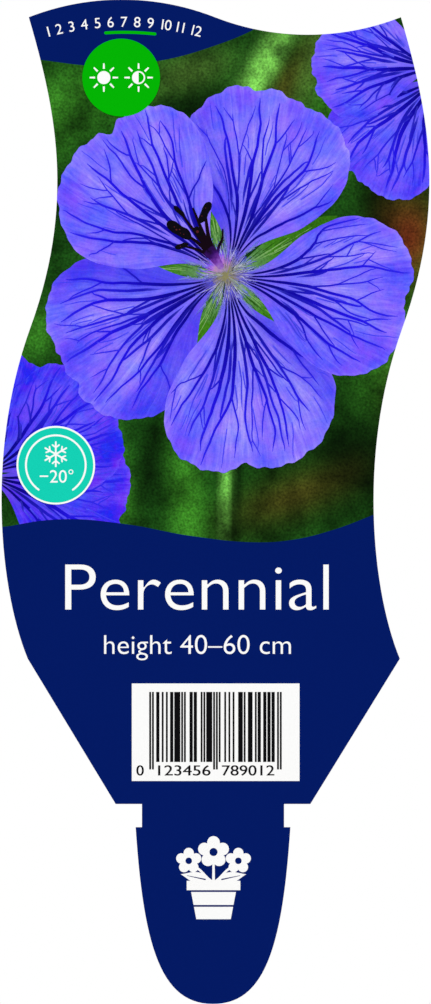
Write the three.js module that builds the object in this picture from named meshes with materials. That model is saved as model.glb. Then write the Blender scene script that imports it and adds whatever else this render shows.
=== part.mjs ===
// Slot-in plant label: one flat sheet of white polypropylene, die-cut to shape and printed.
//
// The wide head carries the print. Its top edge is a wave and its two sides are one swaying
// curve, so that heads cut side by side from a roll waste nothing. Sloping shoulders narrow
// the head to a neck, and below the neck a rounded tongue goes down into a slot in a pot's
// rim. The tongue is a little wider than the neck, and the two barbs that this leaves catch
// under the slot while the shoulders rest on top of it.
//
// Millimetres. X runs to the right along the printed face, Z runs up, and the printed face
// looks along -Y. The origin is on the back face, in the middle of the neck, level with the
// undersides of the shoulders: the point where the label meets the top of the pot's slot.

import * as THREE from 'three';

// Sheet
const SHEET_THICKNESS = 0.5;

// Head. It stands a little to the right of the neck, as its sides sway.
const HEAD_WIDTH = 70.7;
const HEAD_LEFT = -35.0;
const TOP_CORNER_Z = 149.5;
const WAVE_RADIUS = 48.4;

// One side of the head, from its top corner down to its foot: two cubic curves that meet in
// one direction at the turn. Each point is the step sideways from the top corner, and the
// height. A pull is a control point that its curve leans towards.
const SIDE_TOP = [0, TOP_CORNER_Z];
const BULGE_PULL_HIGH = [4.9, 132.6];
const BULGE_PULL_LOW = [9.1, 114.7];
const SIDE_TURN = [0.3, 90.5];
const WAIST_PULL_HIGH = [-8.1, 67.4];
const WAIST_PULL_LOW = [-5.7, 41.0];
const SIDE_FOOT = [-0.2, 27.6];

// Shoulders, neck and barbs, from the centre line
const SHOULDER_HALF_WIDTH = 18.5;
const NECK_HALF_WIDTH = 13.5;
const NECK_HEIGHT = 4.4;
const BARB_HALF_WIDTH = 14.7;

// Tongue, from the barbs down to its tip: one cubic curve on each side of the centre line
const TONGUE_LENGTH = 33.6;
const TONGUE_PULL_HALF_WIDTH = 13.2;
const TONGUE_PULL_DROP = 23.2;
const TIP_PULL_HALF_WIDTH = 9.7;

// Straight steps that each curve is drawn with
const SIDE_STEPS = 30;
const WAVE_STEPS = 24;
const TONGUE_STEPS = 28;

const COLOURS = { darkBluePrint: 0x001a65 };

const flat = (x, z) => new THREE.Vector2(x, z);
const steps = (curve, count) => curve.getPoints(count).slice(1);
const cubic = (from, pull, nextPull, to) => new THREE.CubicBezierCurve(from, pull, nextPull, to);

// Points down one side of the head whose top corner is at topX, without that corner
function sideOfHead(topX) {
  const at = ([step, height]) => flat(topX + step, height);
  const bulge = cubic(at(SIDE_TOP), at(BULGE_PULL_HIGH), at(BULGE_PULL_LOW), at(SIDE_TURN));
  const waist = cubic(at(SIDE_TURN), at(WAIST_PULL_HIGH), at(WAIST_PULL_LOW), at(SIDE_FOOT));
  return [...steps(bulge, SIDE_STEPS), ...steps(waist, SIDE_STEPS)];
}

// Points along the top edge from left to right, without its first: a crest and then an equal
// hollow, each one arc over half the head, which meet in one direction in the middle
function waveAlongTop() {
  const halfChord = HEAD_WIDTH / 4;
  const centreDrop = Math.sqrt(WAVE_RADIUS ** 2 - halfChord ** 2);
  const lean = Math.atan2(halfChord, centreDrop);
  const crest = new THREE.EllipseCurve(
    HEAD_LEFT + halfChord, TOP_CORNER_Z - centreDrop, WAVE_RADIUS, WAVE_RADIUS,
    Math.PI / 2 + lean, Math.PI / 2 - lean, true,
  );
  const hollow = new THREE.EllipseCurve(
    HEAD_LEFT + 3 * halfChord, TOP_CORNER_Z + centreDrop, WAVE_RADIUS, WAVE_RADIUS,
    -Math.PI / 2 - lean, -Math.PI / 2 + lean, false,
  );
  return [...steps(crest, WAVE_STEPS), ...steps(hollow, WAVE_STEPS)];
}

// Points round the tongue from its right barb to its left one, without the first
function roundTongue() {
  const barbZ = -NECK_HEIGHT;
  const tipZ = barbZ - TONGUE_LENGTH;
  const halfTongue = (side) => [
    flat(side * BARB_HALF_WIDTH, barbZ),
    flat(side * TONGUE_PULL_HALF_WIDTH, barbZ - TONGUE_PULL_DROP),
    flat(side * TIP_PULL_HALF_WIDTH, tipZ),
    flat(0, tipZ),
  ];
  const down = cubic(...halfTongue(1));
  const up = cubic(...halfTongue(-1).reverse());
  return [...steps(down, TONGUE_STEPS), ...steps(up, TONGUE_STEPS)];
}

// The cutting line, clockwise from the left shoulder's inner corner
function cutLine() {
  const topLeft = flat(HEAD_LEFT, TOP_CORNER_Z);
  const leftSideUp = [topLeft, ...sideOfHead(HEAD_LEFT)].reverse();
  return [
    flat(-NECK_HALF_WIDTH, 0),
    flat(-SHOULDER_HALF_WIDTH, 0),
    ...leftSideUp,
    ...waveAlongTop(),
    ...sideOfHead(HEAD_LEFT + HEAD_WIDTH),
    flat(SHOULDER_HALF_WIDTH, 0),
    flat(NECK_HALF_WIDTH, 0),
    flat(NECK_HALF_WIDTH, -NECK_HEIGHT),
    flat(BARB_HALF_WIDTH, -NECK_HEIGHT),
    ...roundTongue(),
    flat(-NECK_HALF_WIDTH, -NECK_HEIGHT),
  ];
}

// The printed sheet, stood up so that its thickness lies from the origin towards -Y
function labelSheet() {
  const geometry = new THREE.ExtrudeGeometry(new THREE.Shape(cutLine()), {
    depth: SHEET_THICKNESS,
    bevelEnabled: false,
  });
  const material = new THREE.MeshStandardMaterial({
    color: COLOURS.darkBluePrint,
    roughness: 0.35,
    metalness: 0,
  });
  const sheet = new THREE.Mesh(geometry, material);
  sheet.name = 'label_sheet';
  sheet.rotation.x = Math.PI / 2;
  return sheet;
}

const plantLabel = new THREE.Group();
plantLabel.add(labelSheet());

export default plantLabel;
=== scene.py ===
"""Plant label that slots into a pot's rim: one die-cut sheet of white polypropylene, printed on
both faces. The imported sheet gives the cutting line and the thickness. Everything printed is
drawn flat on a page in millimetres, X to the right and Y up from the sheet's origin, and then
stood on the front or the back of the sheet as a thin film of ink.

Films lie on numbered levels, counted up from the plastic, and a higher level hides a lower one.
On the back, the page's X runs to the right as that side is seen.
"""

import math
import random
from collections import namedtuple
from contextlib import contextmanager

import bpy
import numpy as np
from bpy.props import FloatProperty, FloatVectorProperty, IntProperty, PointerProperty, StringProperty
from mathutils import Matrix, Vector


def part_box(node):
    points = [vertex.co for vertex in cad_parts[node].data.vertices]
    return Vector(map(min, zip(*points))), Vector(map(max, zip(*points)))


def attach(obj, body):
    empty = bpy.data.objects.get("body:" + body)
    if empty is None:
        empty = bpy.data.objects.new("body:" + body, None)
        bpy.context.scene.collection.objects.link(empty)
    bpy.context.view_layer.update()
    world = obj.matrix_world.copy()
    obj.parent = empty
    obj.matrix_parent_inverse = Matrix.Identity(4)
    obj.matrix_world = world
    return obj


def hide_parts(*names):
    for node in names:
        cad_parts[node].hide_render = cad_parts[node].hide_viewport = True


bl_info = {
    "name": "Slot-in Plant Label",
    "version": (1, 0, 0),
    "blender": (4, 5, 0),
    "location": "View3D > Sidebar > Plant Label",
    "description": "Builds a printed plastic plant label and the pale studio around it",
    "category": "Object",
}

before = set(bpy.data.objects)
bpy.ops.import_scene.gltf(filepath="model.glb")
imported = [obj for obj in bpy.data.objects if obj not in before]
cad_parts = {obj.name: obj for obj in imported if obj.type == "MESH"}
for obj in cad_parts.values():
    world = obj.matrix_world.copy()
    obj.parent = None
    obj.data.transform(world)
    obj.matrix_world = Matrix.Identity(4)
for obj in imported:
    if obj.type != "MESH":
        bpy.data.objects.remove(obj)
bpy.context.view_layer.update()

MM = 0.001
BODY = "root"
NODE = "label_sheet"

# The sheet as it is packed, in millimetres
LOW, HIGH = (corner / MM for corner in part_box(NODE))
FRONT_Y, BACK_Y = LOW.y, HIGH.y
TIP_Z = LOW.z

# Levels of the front, up from the plastic. A petal takes every second level, with its own veins
# on the level above it.
GROUND = 1
ON_BLUE = 2
DETAIL_ON_BLUE = 3
SEPALS = 2
FIBRES = 3
FAR_PETALS = 3
PETALS = 7
EYE = 13
DOWN = 14
GLOW = 15
STAMENS = 16
ANTHERS = 17
GLINTS = 18
DISC = 14
SIGN = 15
SIGN_DETAIL = 16
FRONT_LEVELS = 18
BACK_LEVELS = 1


# ---------------------------------------------------------------- colours and settings


def linear(hex_colour):
    """An sRGB hex colour as the linear red, green, blue and alpha that the shaders take."""
    channels = [int(hex_colour[i : i + 2], 16) / 255 for i in (1, 3, 5)]
    return [c / 12.92 if c <= 0.04045 else ((c + 0.055) / 1.055) ** 2.4 for c in channels] + [1.0]


def colour(name, hex_colour):
    """A colour setting with its default."""
    return FloatVectorProperty(
        name=name,
        description=f"Colour of the {name.lower()}",
        subtype="COLOR",
        size=4,
        min=0.0,
        max=1.0,
        default=linear(hex_colour),
    )


def distance(name, description, millimetres):
    """A setting in units of length with its default."""
    return FloatProperty(name=name, description=description, default=millimetres * MM, unit="LENGTH")


def angle(name, description, degrees):
    """An angle setting with its default."""
    return FloatProperty(name=name, description=description, default=math.radians(degrees), subtype="ANGLE")


class SheetSettings(bpy.types.PropertyGroup):
    """The plastic and the films of ink on it."""

    plastic: colour("Polypropylene", "#F1F1EE")
    film: distance("Ink film", "Thickness of one film of ink", 0.008)
    edge_rounding: distance("Edge rounding", "Rounding of the cut's back edge", 0.06)


class InkSettings(bpy.types.PropertyGroup):
    """The solid inks, and the words in them."""

    blue: colour("Dark blue ink", "#001863")
    white: colour("White ink", "#FBFBFA")
    black: colour("Black ink", "#0B0B0D")
    green: colour("Green ink", "#00B200")
    turquoise: colour("Turquoise ink", "#12D0B4")
    title: StringProperty(name="Title", description="Large word on the panel", default="Perennial")
    subtitle: StringProperty(name="Subtitle", description="Line under the title", default="height 40–60 cm")


class BloomSettings(bpy.types.PropertyGroup):
    """The open flower and its inks."""

    length: distance("Petal length", "From the eye to the margin", 36.5)
    spread: angle("Petal spread", "Half the angle that a petal spans", 39)
    turn: angle("Turn", "Direction of the first petal", 66)
    mains: IntProperty(name="Main veins", description="Main veins in each petal", default=6, min=1)
    seed: IntProperty(name="Seed", description="Where the veins fork and wander", default=7)
    deep: colour("Petals in their folds", "#2824F0")
    middle: colour("Petals", "#5858FE")
    light: colour("Petals in the light", "#807BFF")
    bright: colour("Petals at their brightest", "#B8AEFF")
    rosy: FloatProperty(name="Rosy clouds", description="How far their hue turns towards red", default=0.024)
    down: colour("Down around the eye", "#786CA8")
    eye: colour("Eye", "#87835C")
    blush: colour("Blush by the stamens", "#B183C4")
    shadow: colour("Shadow of the next petal", "#2A1EE6")
    vein: colour("Veins", "#2212E4")
    root: colour("Veins near the eye", "#06025C")
    sepal: colour("Sepals", "#3D7E18")
    stamen: colour("Stamens", "#120510")


class GardenSettings(bpy.types.PropertyGroup):
    """The garden out of focus behind the flower."""

    leaves: colour("Leaves out of focus", "#164410")
    lit: colour("Lit leaves", "#3A8422")
    stalk: colour("Pale stalk", "#92F064")
    dry: colour("Dry stalks", "#4E702C")
    hollow: colour("Dark hollows", "#030F02")
    earth: colour("Brown-red stems", "#602812")


class StageSettings(bpy.types.PropertyGroup):
    """The studio around the label."""

    floor: distance("Floor", "Width of the floor", 4000)
    paper: colour("Floor", "#E6E6E2")
    key: FloatProperty(name="Key light", description="Strength of the key light", default=3.1)
    fill: FloatProperty(name="Fill light", description="Strength of the fill light", default=1.7)
    back: FloatProperty(name="Back light", description="Strength of the light behind", default=4.2)


class LabelSettings(bpy.types.PropertyGroup):
    """All settings of the label."""

    sheet: PointerProperty(type=SheetSettings)
    inks: PointerProperty(type=InkSettings)
    bloom: PointerProperty(type=BloomSettings)
    garden: PointerProperty(type=GardenSettings)
    stage: PointerProperty(type=StageSettings)


def settings():
    return bpy.context.scene.plant_label


# ---------------------------------------------------------------- materials


def add_node(tree, kind, inputs=(), stops=(), **values):
    """Adds a node with its settings, its inputs, each a value or a socket to link from, and the
    stops of a colour ramp, whose shades may be sRGB hex colours."""
    node = tree.nodes.new(kind)
    for name, value in values.items():
        setattr(node, name, value)
    for name, value in dict(inputs).items():
        if isinstance(value, bpy.types.NodeSocket):
            tree.links.new(value, node.inputs[name])
        else:
            node.inputs[name].default_value = value
    for index, (position, shade) in enumerate(stops):
        fresh = index >= 2
        stop = node.color_ramp.elements.new(position) if fresh else node.color_ramp.elements[index]
        stop.position = position
        stop.color = linear(shade) if isinstance(shade, str) else shade
    return node


def uneven(tree, ink, place, scale, detail, low, high, clamp=False):
    """An ink, as a colour or a socket, multiplied by soft noise that runs from low to high."""
    noise = add_node(tree, "ShaderNodeTexNoise", {"Scale": scale, "Detail": detail, "Vector": place})
    span = {"From Min": 0.3, "From Max": 0.7, "To Min": low, "To Max": high}
    strength = add_node(tree, "ShaderNodeMapRange", {**span, "Value": noise.outputs["Fac"]}, clamp=clamp)
    layers = {"Factor": 1.0, 6: ink, 7: strength.outputs["Result"]}
    return add_node(tree, "ShaderNodeMix", layers, data_type="RGBA", blend_type="MULTIPLY").outputs[2]


def printed(name, paint, grain=0.03, roughness=0.22):
    """Process ink on polypropylene under a satin varnish. The ink is flat and strong in colour,
    the varnish gives a soft sheen with a faint orange peel, and the press leaves a fine grain,
    drawn three times as coarse as its real 0.15 mm screen so that it shows. paint is the ink's
    colour, or a function of the node tree and the object's place that gives its socket."""
    found = bpy.data.materials.get(name)
    if found:
        return found
    grain_size, peel_size, peel_height = 0.45 * MM, 1.6 * MM, 0.02 * MM
    material = bpy.data.materials.new(name)
    material.use_nodes = True
    tree = material.node_tree
    shader = tree.nodes["Principled BSDF"]
    for socket, value in (("IOR", 1.46), ("Specular IOR Level", 0.3), ("Roughness", roughness)):
        shader.inputs[socket].default_value = value
    place = add_node(tree, "ShaderNodeTexCoord").outputs["Object"]
    ink = paint(tree, place) if callable(paint) else paint
    speckled = uneven(tree, ink, place, 1 / grain_size, 2.0, 1 - grain, 1 + grain)
    tree.links.new(speckled, shader.inputs["Base Color"])
    peel = add_node(tree, "ShaderNodeTexNoise", {"Scale": 1 / peel_size, "Detail": 1.0, "Vector": place})
    relief = {"Strength": 0.15, "Distance": peel_height, "Height": peel.outputs["Fac"]}
    bump = add_node(tree, "ShaderNodeBump", relief)
    tree.links.new(bump.outputs["Normal"], shader.inputs["Normal"])
    return material


def cut_polypropylene():
    """Opaque white polypropylene, calendered smooth: a waxy white with a soft sheen. The rollers
    leave a faint drag that runs up the sheet, in lines about half a millimetre apart."""
    apart, long = 0.5 * MM, 16 * MM

    def paint(tree, place):
        lines = {"Scale": (1 / apart, 1 / apart, 1 / long), "Vector": place}
        drag = add_node(tree, "ShaderNodeMapping", lines).outputs["Vector"]
        return uneven(tree, settings().sheet.plastic, drag, 1.0, 3.0, 0.975, 1.015, clamp=True)

    return printed("calendered_polypropylene", paint, grain=0.015, roughness=0.38)


def flat_ink(name, shade, grain=0.02):
    """A flat solid of one ink: even, dense and under the same varnish as all the rest."""
    return printed(name, shade, grain)


def white_ink():
    return flat_ink("white_process_ink", settings().inks.white, grain=0.006)


def blue_ink():
    return flat_ink("dark_blue_process_ink", settings().inks.blue)


def green_ink():
    return flat_ink("green_process_ink", settings().inks.green)


def eye_tones(tree, place):
    """The colour of a flower's downy middle at each distance from its centre, which the attribute
    "reach" gives as a share of the petals' length: olive, then greyer and bluer. Rays in the down
    follow the attribute "spoke"."""
    bloom = settings().bloom
    reach = add_node(tree, "ShaderNodeAttribute", attribute_name="reach").outputs["Fac"]
    spoke = add_node(tree, "ShaderNodeAttribute", attribute_name="spoke").outputs["Vector"]
    turned_out = add_node(tree, "ShaderNodeMapping", {"Scale": (9, 9, 14), "Vector": spoke}).outputs["Vector"]
    felt = {"Scale": 1.0, "Detail": 4.0, "Roughness": 0.65, "Vector": turned_out}
    rays = add_node(tree, "ShaderNodeTexNoise", felt).outputs["Fac"]
    moved = add_node(tree, "ShaderNodeMath", {0: rays, 1: 0.1, 2: reach}, operation="MULTIPLY_ADD")
    stops = ((0.075, bloom.eye), (0.11, "#8D8474"), (0.14, bloom.down), (0.18, "#6A5CD0"))
    return add_node(tree, "ShaderNodeValToRGB", {"Fac": moved.outputs["Value"]}, stops).outputs["Color"]


# The hue that turns the petals' colours a little towards blue, where 0.5 leaves them as they are
BLUER = 0.497


def petal_ink():
    """Violet petals in process inks. Streaks as fine as a petal's cells run from the eye to the
    margin, over the folds and shadows that the attribute "shade" holds: light in red, paleness
    in green, shadow in blue and blush in alpha. Rosy clouds lie over the blue ones."""
    bloom = settings().bloom
    mottle_size, cloud_size = 2.2 * MM, 6 * MM

    def paint(tree, place):
        shade = add_node(tree, "ShaderNodeAttribute", attribute_name="shade")
        parts = add_node(tree, "ShaderNodeSeparateColor", {"Color": shade.outputs["Color"]}).outputs
        petal = add_node(tree, "ShaderNodeTexCoord").outputs["UV"]
        cells = add_node(tree, "ShaderNodeMapping", {"Scale": (5, 60, 1), "Vector": petal}).outputs["Vector"]
        fine = {"Scale": 1.0, "Detail": 3.0, "Roughness": 0.6, "Distortion": 0.4, "Vector": cells}
        streaks = add_node(tree, "ShaderNodeTexNoise", fine).outputs["Fac"]
        coarse = {"Scale": 1 / mottle_size, "Detail": 4.0, "Vector": place}
        mottle = add_node(tree, "ShaderNodeTexNoise", coarse).outputs["Fac"]
        both = add_node(tree, "ShaderNodeMath", {0: mottle, 1: 0.45, 2: streaks}, operation="MULTIPLY_ADD")
        span = {"From Min": 0.4, "From Max": 1.05, "To Min": -0.2, "To Max": 0.2}
        centred = add_node(tree, "ShaderNodeMapRange", {**span, "Value": both.outputs["Value"]}, clamp=False)
        light = add_node(tree, "ShaderNodeMath", {0: parts["Red"], 1: centred.outputs["Result"]})
        stops = ((0.05, bloom.deep), (0.4, bloom.middle), (0.66, bloom.light), (0.95, bloom.bright))
        ink = add_node(tree, "ShaderNodeValToRGB", {"Fac": light.outputs["Value"]}, stops).outputs["Color"]
        soft = {"Scale": 1 / cloud_size, "Detail": 5.0, "Roughness": 0.62, "Vector": place}
        clouds = add_node(tree, "ShaderNodeTexNoise", soft).outputs["Fac"]
        span = {"From Min": 0.38, "From Max": 0.66, "To Min": BLUER, "To Max": BLUER + bloom.rosy}
        hue = add_node(tree, "ShaderNodeMapRange", {**span, "Value": clouds}).outputs["Result"]
        ink = add_node(tree, "ShaderNodeHueSaturation", {"Hue": hue, "Color": ink}).outputs["Color"]
        layers = (
            (parts["Blue"], bloom.shadow),
            (parts["Green"], eye_tones(tree, place)),
            (shade.outputs["Alpha"], bloom.blush),
        )
        for share, over in layers:
            mix = {"Factor": share, 6: ink, 7: over}
            ink = add_node(tree, "ShaderNodeMix", mix, data_type="RGBA").outputs[2]
        return ink

    return printed("petal_process_inks", paint, grain=0.09)


def by_reach(name, stops, grain=0.08, fade_to=None):
    """Process inks whose colour changes with the attribute "reach": the distance from a flower's
    centre, as a share of its petals' length. The attribute "fade" mixes them with a last one."""
    blot_size = 0.8 * MM

    def paint(tree, place):
        reach = add_node(tree, "ShaderNodeAttribute", attribute_name="reach").outputs["Fac"]
        blots = {"Scale": 1 / blot_size, "Detail": 2.0, "Vector": place}
        waver = add_node(tree, "ShaderNodeTexNoise", blots).outputs["Fac"]
        centred = add_node(tree, "ShaderNodeMapRange", {"To Min": -0.04, "To Max": 0.04, "Value": waver})
        moved = add_node(tree, "ShaderNodeMath", {0: reach, 1: centred.outputs["Result"]})
        tones = add_node(tree, "ShaderNodeValToRGB", {"Fac": moved.outputs["Value"]}, stops).outputs["Color"]
        if not fade_to:
            return tones
        fade = add_node(tree, "ShaderNodeAttribute", attribute_name="fade").outputs["Fac"]
        faded = add_node(tree, "ShaderNodeMix", {"Factor": fade, 6: tones, 7: fade_to}, data_type="RGBA")
        return faded.outputs[2]

    return printed(name, paint, grain)


def vein_ink():
    """Veins: nearly black where they leave the eye, then a deep blue, and fainter as they thin."""
    bloom = settings().bloom
    stops = ((0.09, "#5448B4"), (0.15, bloom.root), (0.36, "#0F05A0"), (0.7, bloom.vein))
    return by_reach("vein_process_inks", stops, fade_to=bloom.middle)


def sepal_ink():
    """Sepals: downy and grey-green at the eye, a clear green beyond it and dark at the tip."""
    downy = ((0.06, "#8B8C86"), (0.11, "#7C9E7C"), (0.17, "#598A50"))
    stops = (*downy, (0.28, settings().bloom.sepal), (0.5, "#2F6A10"))
    return by_reach("sepal_process_inks", stops, grain=0.25)


def stamen_ink():
    """Stamens: magenta at the eye and nearly black from the middle of the column on."""
    foot = ((0.03, "#9F7BBE"), (0.07, "#874FB9"), (0.1, "#642B93"), (0.13, "#371066"))
    return by_reach("stamen_process_inks", (*foot, (0.17, settings().bloom.stamen)))


def glow_ink():
    """The pink and purple streaks that run from the eye into the stamens."""
    stops = ((0.02, "#A39284"), (0.05, "#B48AAE"), (0.09, "#B877D6"), (0.13, "#8636D4"))
    return by_reach("glow_process_inks", stops, fade_to=settings().bloom.middle)


def fringe_ink():
    """The soft hairs along the feet of the petals, grey near the eye and bluer beyond it."""
    stops = ((0.08, "#A0A69A"), (0.22, "#8090B8"))
    return by_reach("fringe_process_inks", stops, fade_to=settings().bloom.middle)


def down_ink(name, near, far):
    """One kind of the eye's hairs, from their ink near the centre to their ink further out."""
    return by_reach(name, ((0.03, near), (0.12, far)), grain=0.12, fade_to=settings().bloom.middle)


def eye_ink():
    """The middle of the eye: felted with short down."""
    return printed("eye_process_inks", eye_tones, grain=0.12)


def garden_ink():
    """A garden out of focus in process inks: soft greens and browns from the attribute "garden",
    in light and dark patches and with the coarse grain of a dim picture."""
    patch_size = 7 * MM

    def paint(tree, place):
        garden = add_node(tree, "ShaderNodeAttribute", attribute_name="garden").outputs["Color"]
        return uneven(tree, garden, place, 1 / patch_size, 3.0, 0.3, 1.55)

    return printed("garden_process_inks", paint, grain=0.4)


# ---------------------------------------------------------------- modelling by hand


# Points nearer than this are one: on a film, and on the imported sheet
WELD, SHEET_WELD = MM / 2000, MM / 10000
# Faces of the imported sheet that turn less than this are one
FLAT = math.radians(0.01)
# In films: how far below a stroke's level its last step is, and where a film's under side begins
DEEPEST_STEP, UNDER_SIDE = 0.7, 0.75


def select_only(piece):
    bpy.ops.object.select_all(action="DESELECT")
    piece.select_set(True)
    bpy.context.view_layer.objects.active = piece


@contextmanager
def editing(piece):
    """Edit mode on one piece, with all of its mesh selected."""
    select_only(piece)
    bpy.ops.object.mode_set(mode="EDIT")
    bpy.ops.mesh.select_all(action="SELECT")
    yield
    bpy.ops.object.mode_set(mode="OBJECT")


def settle(piece):
    """Makes a piece's place, turn and scale its mesh's own."""
    select_only(piece)
    bpy.ops.object.transform_apply(location=True, rotation=True, scale=True)


def to_mesh(piece):
    select_only(piece)
    bpy.ops.object.convert(target="MESH")


def link(name, data):
    """A new object of the given data, in the scene."""
    piece = bpy.data.objects.new(name, data)
    bpy.context.scene.collection.objects.link(piece)
    return piece


def store(piece, name, kind, values, domain="POINT"):
    """Writes an attribute: a number, a vector or a colour for each point or corner of a piece."""
    field = {"FLOAT": "value", "FLOAT_VECTOR": "vector", "FLOAT_COLOR": "color"}[kind]
    piece.data.attributes.new(name, kind, domain).data.foreach_set(field, np.ravel(values))


def remove(*pieces):
    for piece in pieces:
        bpy.data.objects.remove(piece)


def apply_modifier(piece, kind, **values):
    """Adds a modifier and applies it at once."""
    modifier = piece.modifiers.new(kind.lower(), kind)
    for name, value in values.items():
        setattr(modifier, name, value)
    select_only(piece)
    bpy.ops.object.modifier_apply(modifier=modifier.name)


def cut(piece, tool, operation):
    apply_modifier(piece, "BOOLEAN", operation=operation, object=tool, solver="EXACT")


def close_up(piece):
    """Welds a piece's seams and turns its faces outwards."""
    with editing(piece):
        bpy.ops.mesh.remove_doubles(threshold=WELD)
        bpy.ops.mesh.normals_make_consistent(inside=False)


def fuse(piece):
    """Makes films that overlap on one level one closed film."""
    with editing(piece):
        bpy.ops.mesh.intersect_boolean(operation="UNION", use_self=True, solver="EXACT")


def level_y(level, back=False):
    """The depth in metres of a level's outer side, on the front or the back of the sheet."""
    film = settings().sheet.film
    if back:
        return BACK_Y * MM - (BACK_LEVELS - level) * film
    return FRONT_Y * MM + (FRONT_LEVELS - level) * film


def stand(piece, level, base, back=False):
    """Turns a film from the page on to a face of the sheet, and moves its under side down to the
    level that carries it."""
    film = settings().sheet.film
    places = points_of(piece)
    places[places[:, 2] < -UNDER_SIDE * film, 2] -= (level - base - 1) * film
    piece.data.vertices.foreach_set("co", places.ravel())
    piece.data.update()
    piece.rotation_euler = (math.pi / 2, 0, math.pi if back else 0)
    piece.location.y = level_y(level, back)
    settle(piece)


def finish_piece(piece, material):
    """Gives a finished piece its finish and the body it rides on."""
    piece.data.materials.clear()
    piece.data.materials.append(material)
    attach(piece, BODY)


def link_curve(name, dimensions="2D"):
    curve = bpy.data.curves.new(name, "CURVE")
    curve.dimensions = dimensions
    return link(name, curve), curve


def add_outline(curve, outline):
    """A closed outline of (x, y) corners and (x, y, "smooth") knots, in millimetres."""
    spline = curve.splines.new("BEZIER")
    spline.use_cyclic_u = True
    spline.bezier_points.add(len(outline) - 1)
    for knot, (x, y, *smooth) in zip(spline.bezier_points, outline):
        knot.co = (x * MM, y * MM, 0)
        knot.handle_left_type = knot.handle_right_type = "AUTO" if smooth else "VECTOR"


def to_film(piece):
    """Makes a flat curve or text a closed film whose outer side is at zero."""
    to_mesh(piece)
    settle(piece)
    piece.location.z = -settings().sheet.film / 2
    settle(piece)
    close_up(piece)
    return piece


def draw(name, *outlines):
    """A film from closed outlines. An outline inside another is a hole."""
    piece, curve = link_curve(name)
    curve.fill_mode = "BOTH"
    curve.extrude = settings().sheet.film / 2
    curve.resolution_u = 12
    for outline in outlines:
        add_outline(curve, outline)
    return to_film(piece)


# Strokes that cross would flicker at one depth, so each is sunk by one of these steps. Strokes
# nearer than the gap, in millimetres, get different ones.
STROKE_DEPTHS = 16
STROKE_GAP = 0.4


def stroke_steps(paths):
    """For each path, a step that no earlier one near it has, as long as there are steps left."""
    spots = [np.array([point[:3] for point in path]) for path in paths]
    steps = []
    for index, spot in enumerate(spots):
        taken = set()
        for other, step in zip(spots, steps):
            away = np.hypot(spot[:, None, 0] - other[:, 0], spot[:, None, 1] - other[:, 1])
            if (away < (spot[:, None, 2] + other[:, 2]) / 2 + STROKE_GAP).any():
                taken.add(step)
        free = sorted(set(range(STROKE_DEPTHS)) - taken)
        steps.append(free[0] if free else index % STROKE_DEPTHS)
    return steps


def brush(name, paths, steps=None):
    """Brush strokes as thick as one film, along paths of (x, y, width) points in millimetres. A
    fourth number, from 0 to 1, tells how far the ink fades there."""
    film = settings().sheet.film
    piece, curve = link_curve(name, "3D")
    curve.twist_mode = "Z_UP"
    curve.extrude = MM / 2
    fades = []
    for path, step in zip(paths, steps or stroke_steps(paths)):
        depth = DEEPEST_STEP * film * step / STROKE_DEPTHS
        spline = curve.splines.new("POLY")
        spline.points.add(len(path) - 1)
        for point, (x, y, width, *fade) in zip(spline.points, path):
            point.co = (x * MM, y * MM, -depth, 1)
            point.radius = width
            point.tilt = math.pi / 2
            fades += fade * 2
    to_mesh(piece)
    if fades:
        store(piece, "fade", "FLOAT", fades)
    with editing(piece):
        bpy.ops.mesh.extrude_region_move(TRANSFORM_OT_translate={"value": (0, 0, -film)})
        bpy.ops.mesh.select_all(action="SELECT")
        bpy.ops.mesh.normals_make_consistent(inside=False)
    bpy.ops.object.shade_flat()
    return piece


# A stroke's round end: how far out each point is, in half widths, and its share of the width
ROUND_END = ((1.0, 0.1), (0.9, 0.45), (0.6, 0.8), (0.0, 1.0))


def rounded(width, *places):
    """A path of one width with round ends, through (x, y) places."""
    start, after = Vector(places[0]), Vector(places[1])
    end, before = Vector(places[-1]), Vector(places[-2])
    ahead = (after - start).normalized() * width / 2
    behind = (before - end).normalized() * width / 2
    first = [(*(start - ahead * out), width * share) for out, share in ROUND_END]
    last = [(*(end - behind * out), width * share) for out, share in reversed(ROUND_END)]
    return first + [(x, y, width) for x, y in places[1:-1]] + last


def write(name, text, x, y, height, width=None, spacing=1.0, weight=0.0):
    """A film of lettering whose baseline is centred at x, y. The height is that of its capitals.
    A width stretches or narrows the text to fit, and a weight moves its outlines outwards."""
    capital_share = 0.729
    bpy.ops.object.select_all(action="DESELECT")
    bpy.ops.object.text_add()
    piece = bpy.context.object
    piece.name = piece.data.name = name
    piece.data.body = text
    piece.data.align_x = "CENTER"
    piece.data.size = height / capital_share * MM
    piece.data.space_character = spacing
    piece.data.resolution_u = 8
    piece.data.offset = weight * MM
    bpy.context.view_layer.update()
    if width:
        piece.scale.x = width * MM / piece.dimensions.x
    piece.location = (x * MM, y * MM, 0)
    piece.data.extrude = settings().sheet.film / 2
    return to_film(piece)


def join(name, pieces):
    """Joins films on one level into one named piece."""
    bpy.ops.object.select_all(action="DESELECT")
    for piece in pieces:
        piece.select_set(True)
    bpy.context.view_layer.objects.active = pieces[0]
    bpy.ops.object.join()
    pieces[0].name = pieces[0].data.name = name
    return pieces[0]


def print_art(name, pieces, material, level, base, back=False, overlapping=False):
    """Joins pieces of artwork and prints them on the sheet in one ink."""
    art = join(name, pieces)
    if overlapping:
        fuse(art)
    stand(art, level, base, back)
    finish_piece(art, material)
    return art


def circle(x, y, radius, count=64, start=0.0, sweep=2 * math.pi):
    """Points round a circle, or along an arc if it sweeps less than a full turn."""
    gaps = count if sweep >= 2 * math.pi else count - 1
    angles = [start + sweep * i / gaps for i in range(count)]
    return [(x + radius * math.cos(a), y + radius * math.sin(a)) for a in angles]


def oblong(left, low, right, high):
    return [(left, low), (right, low), (right, high), (left, high)]


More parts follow.
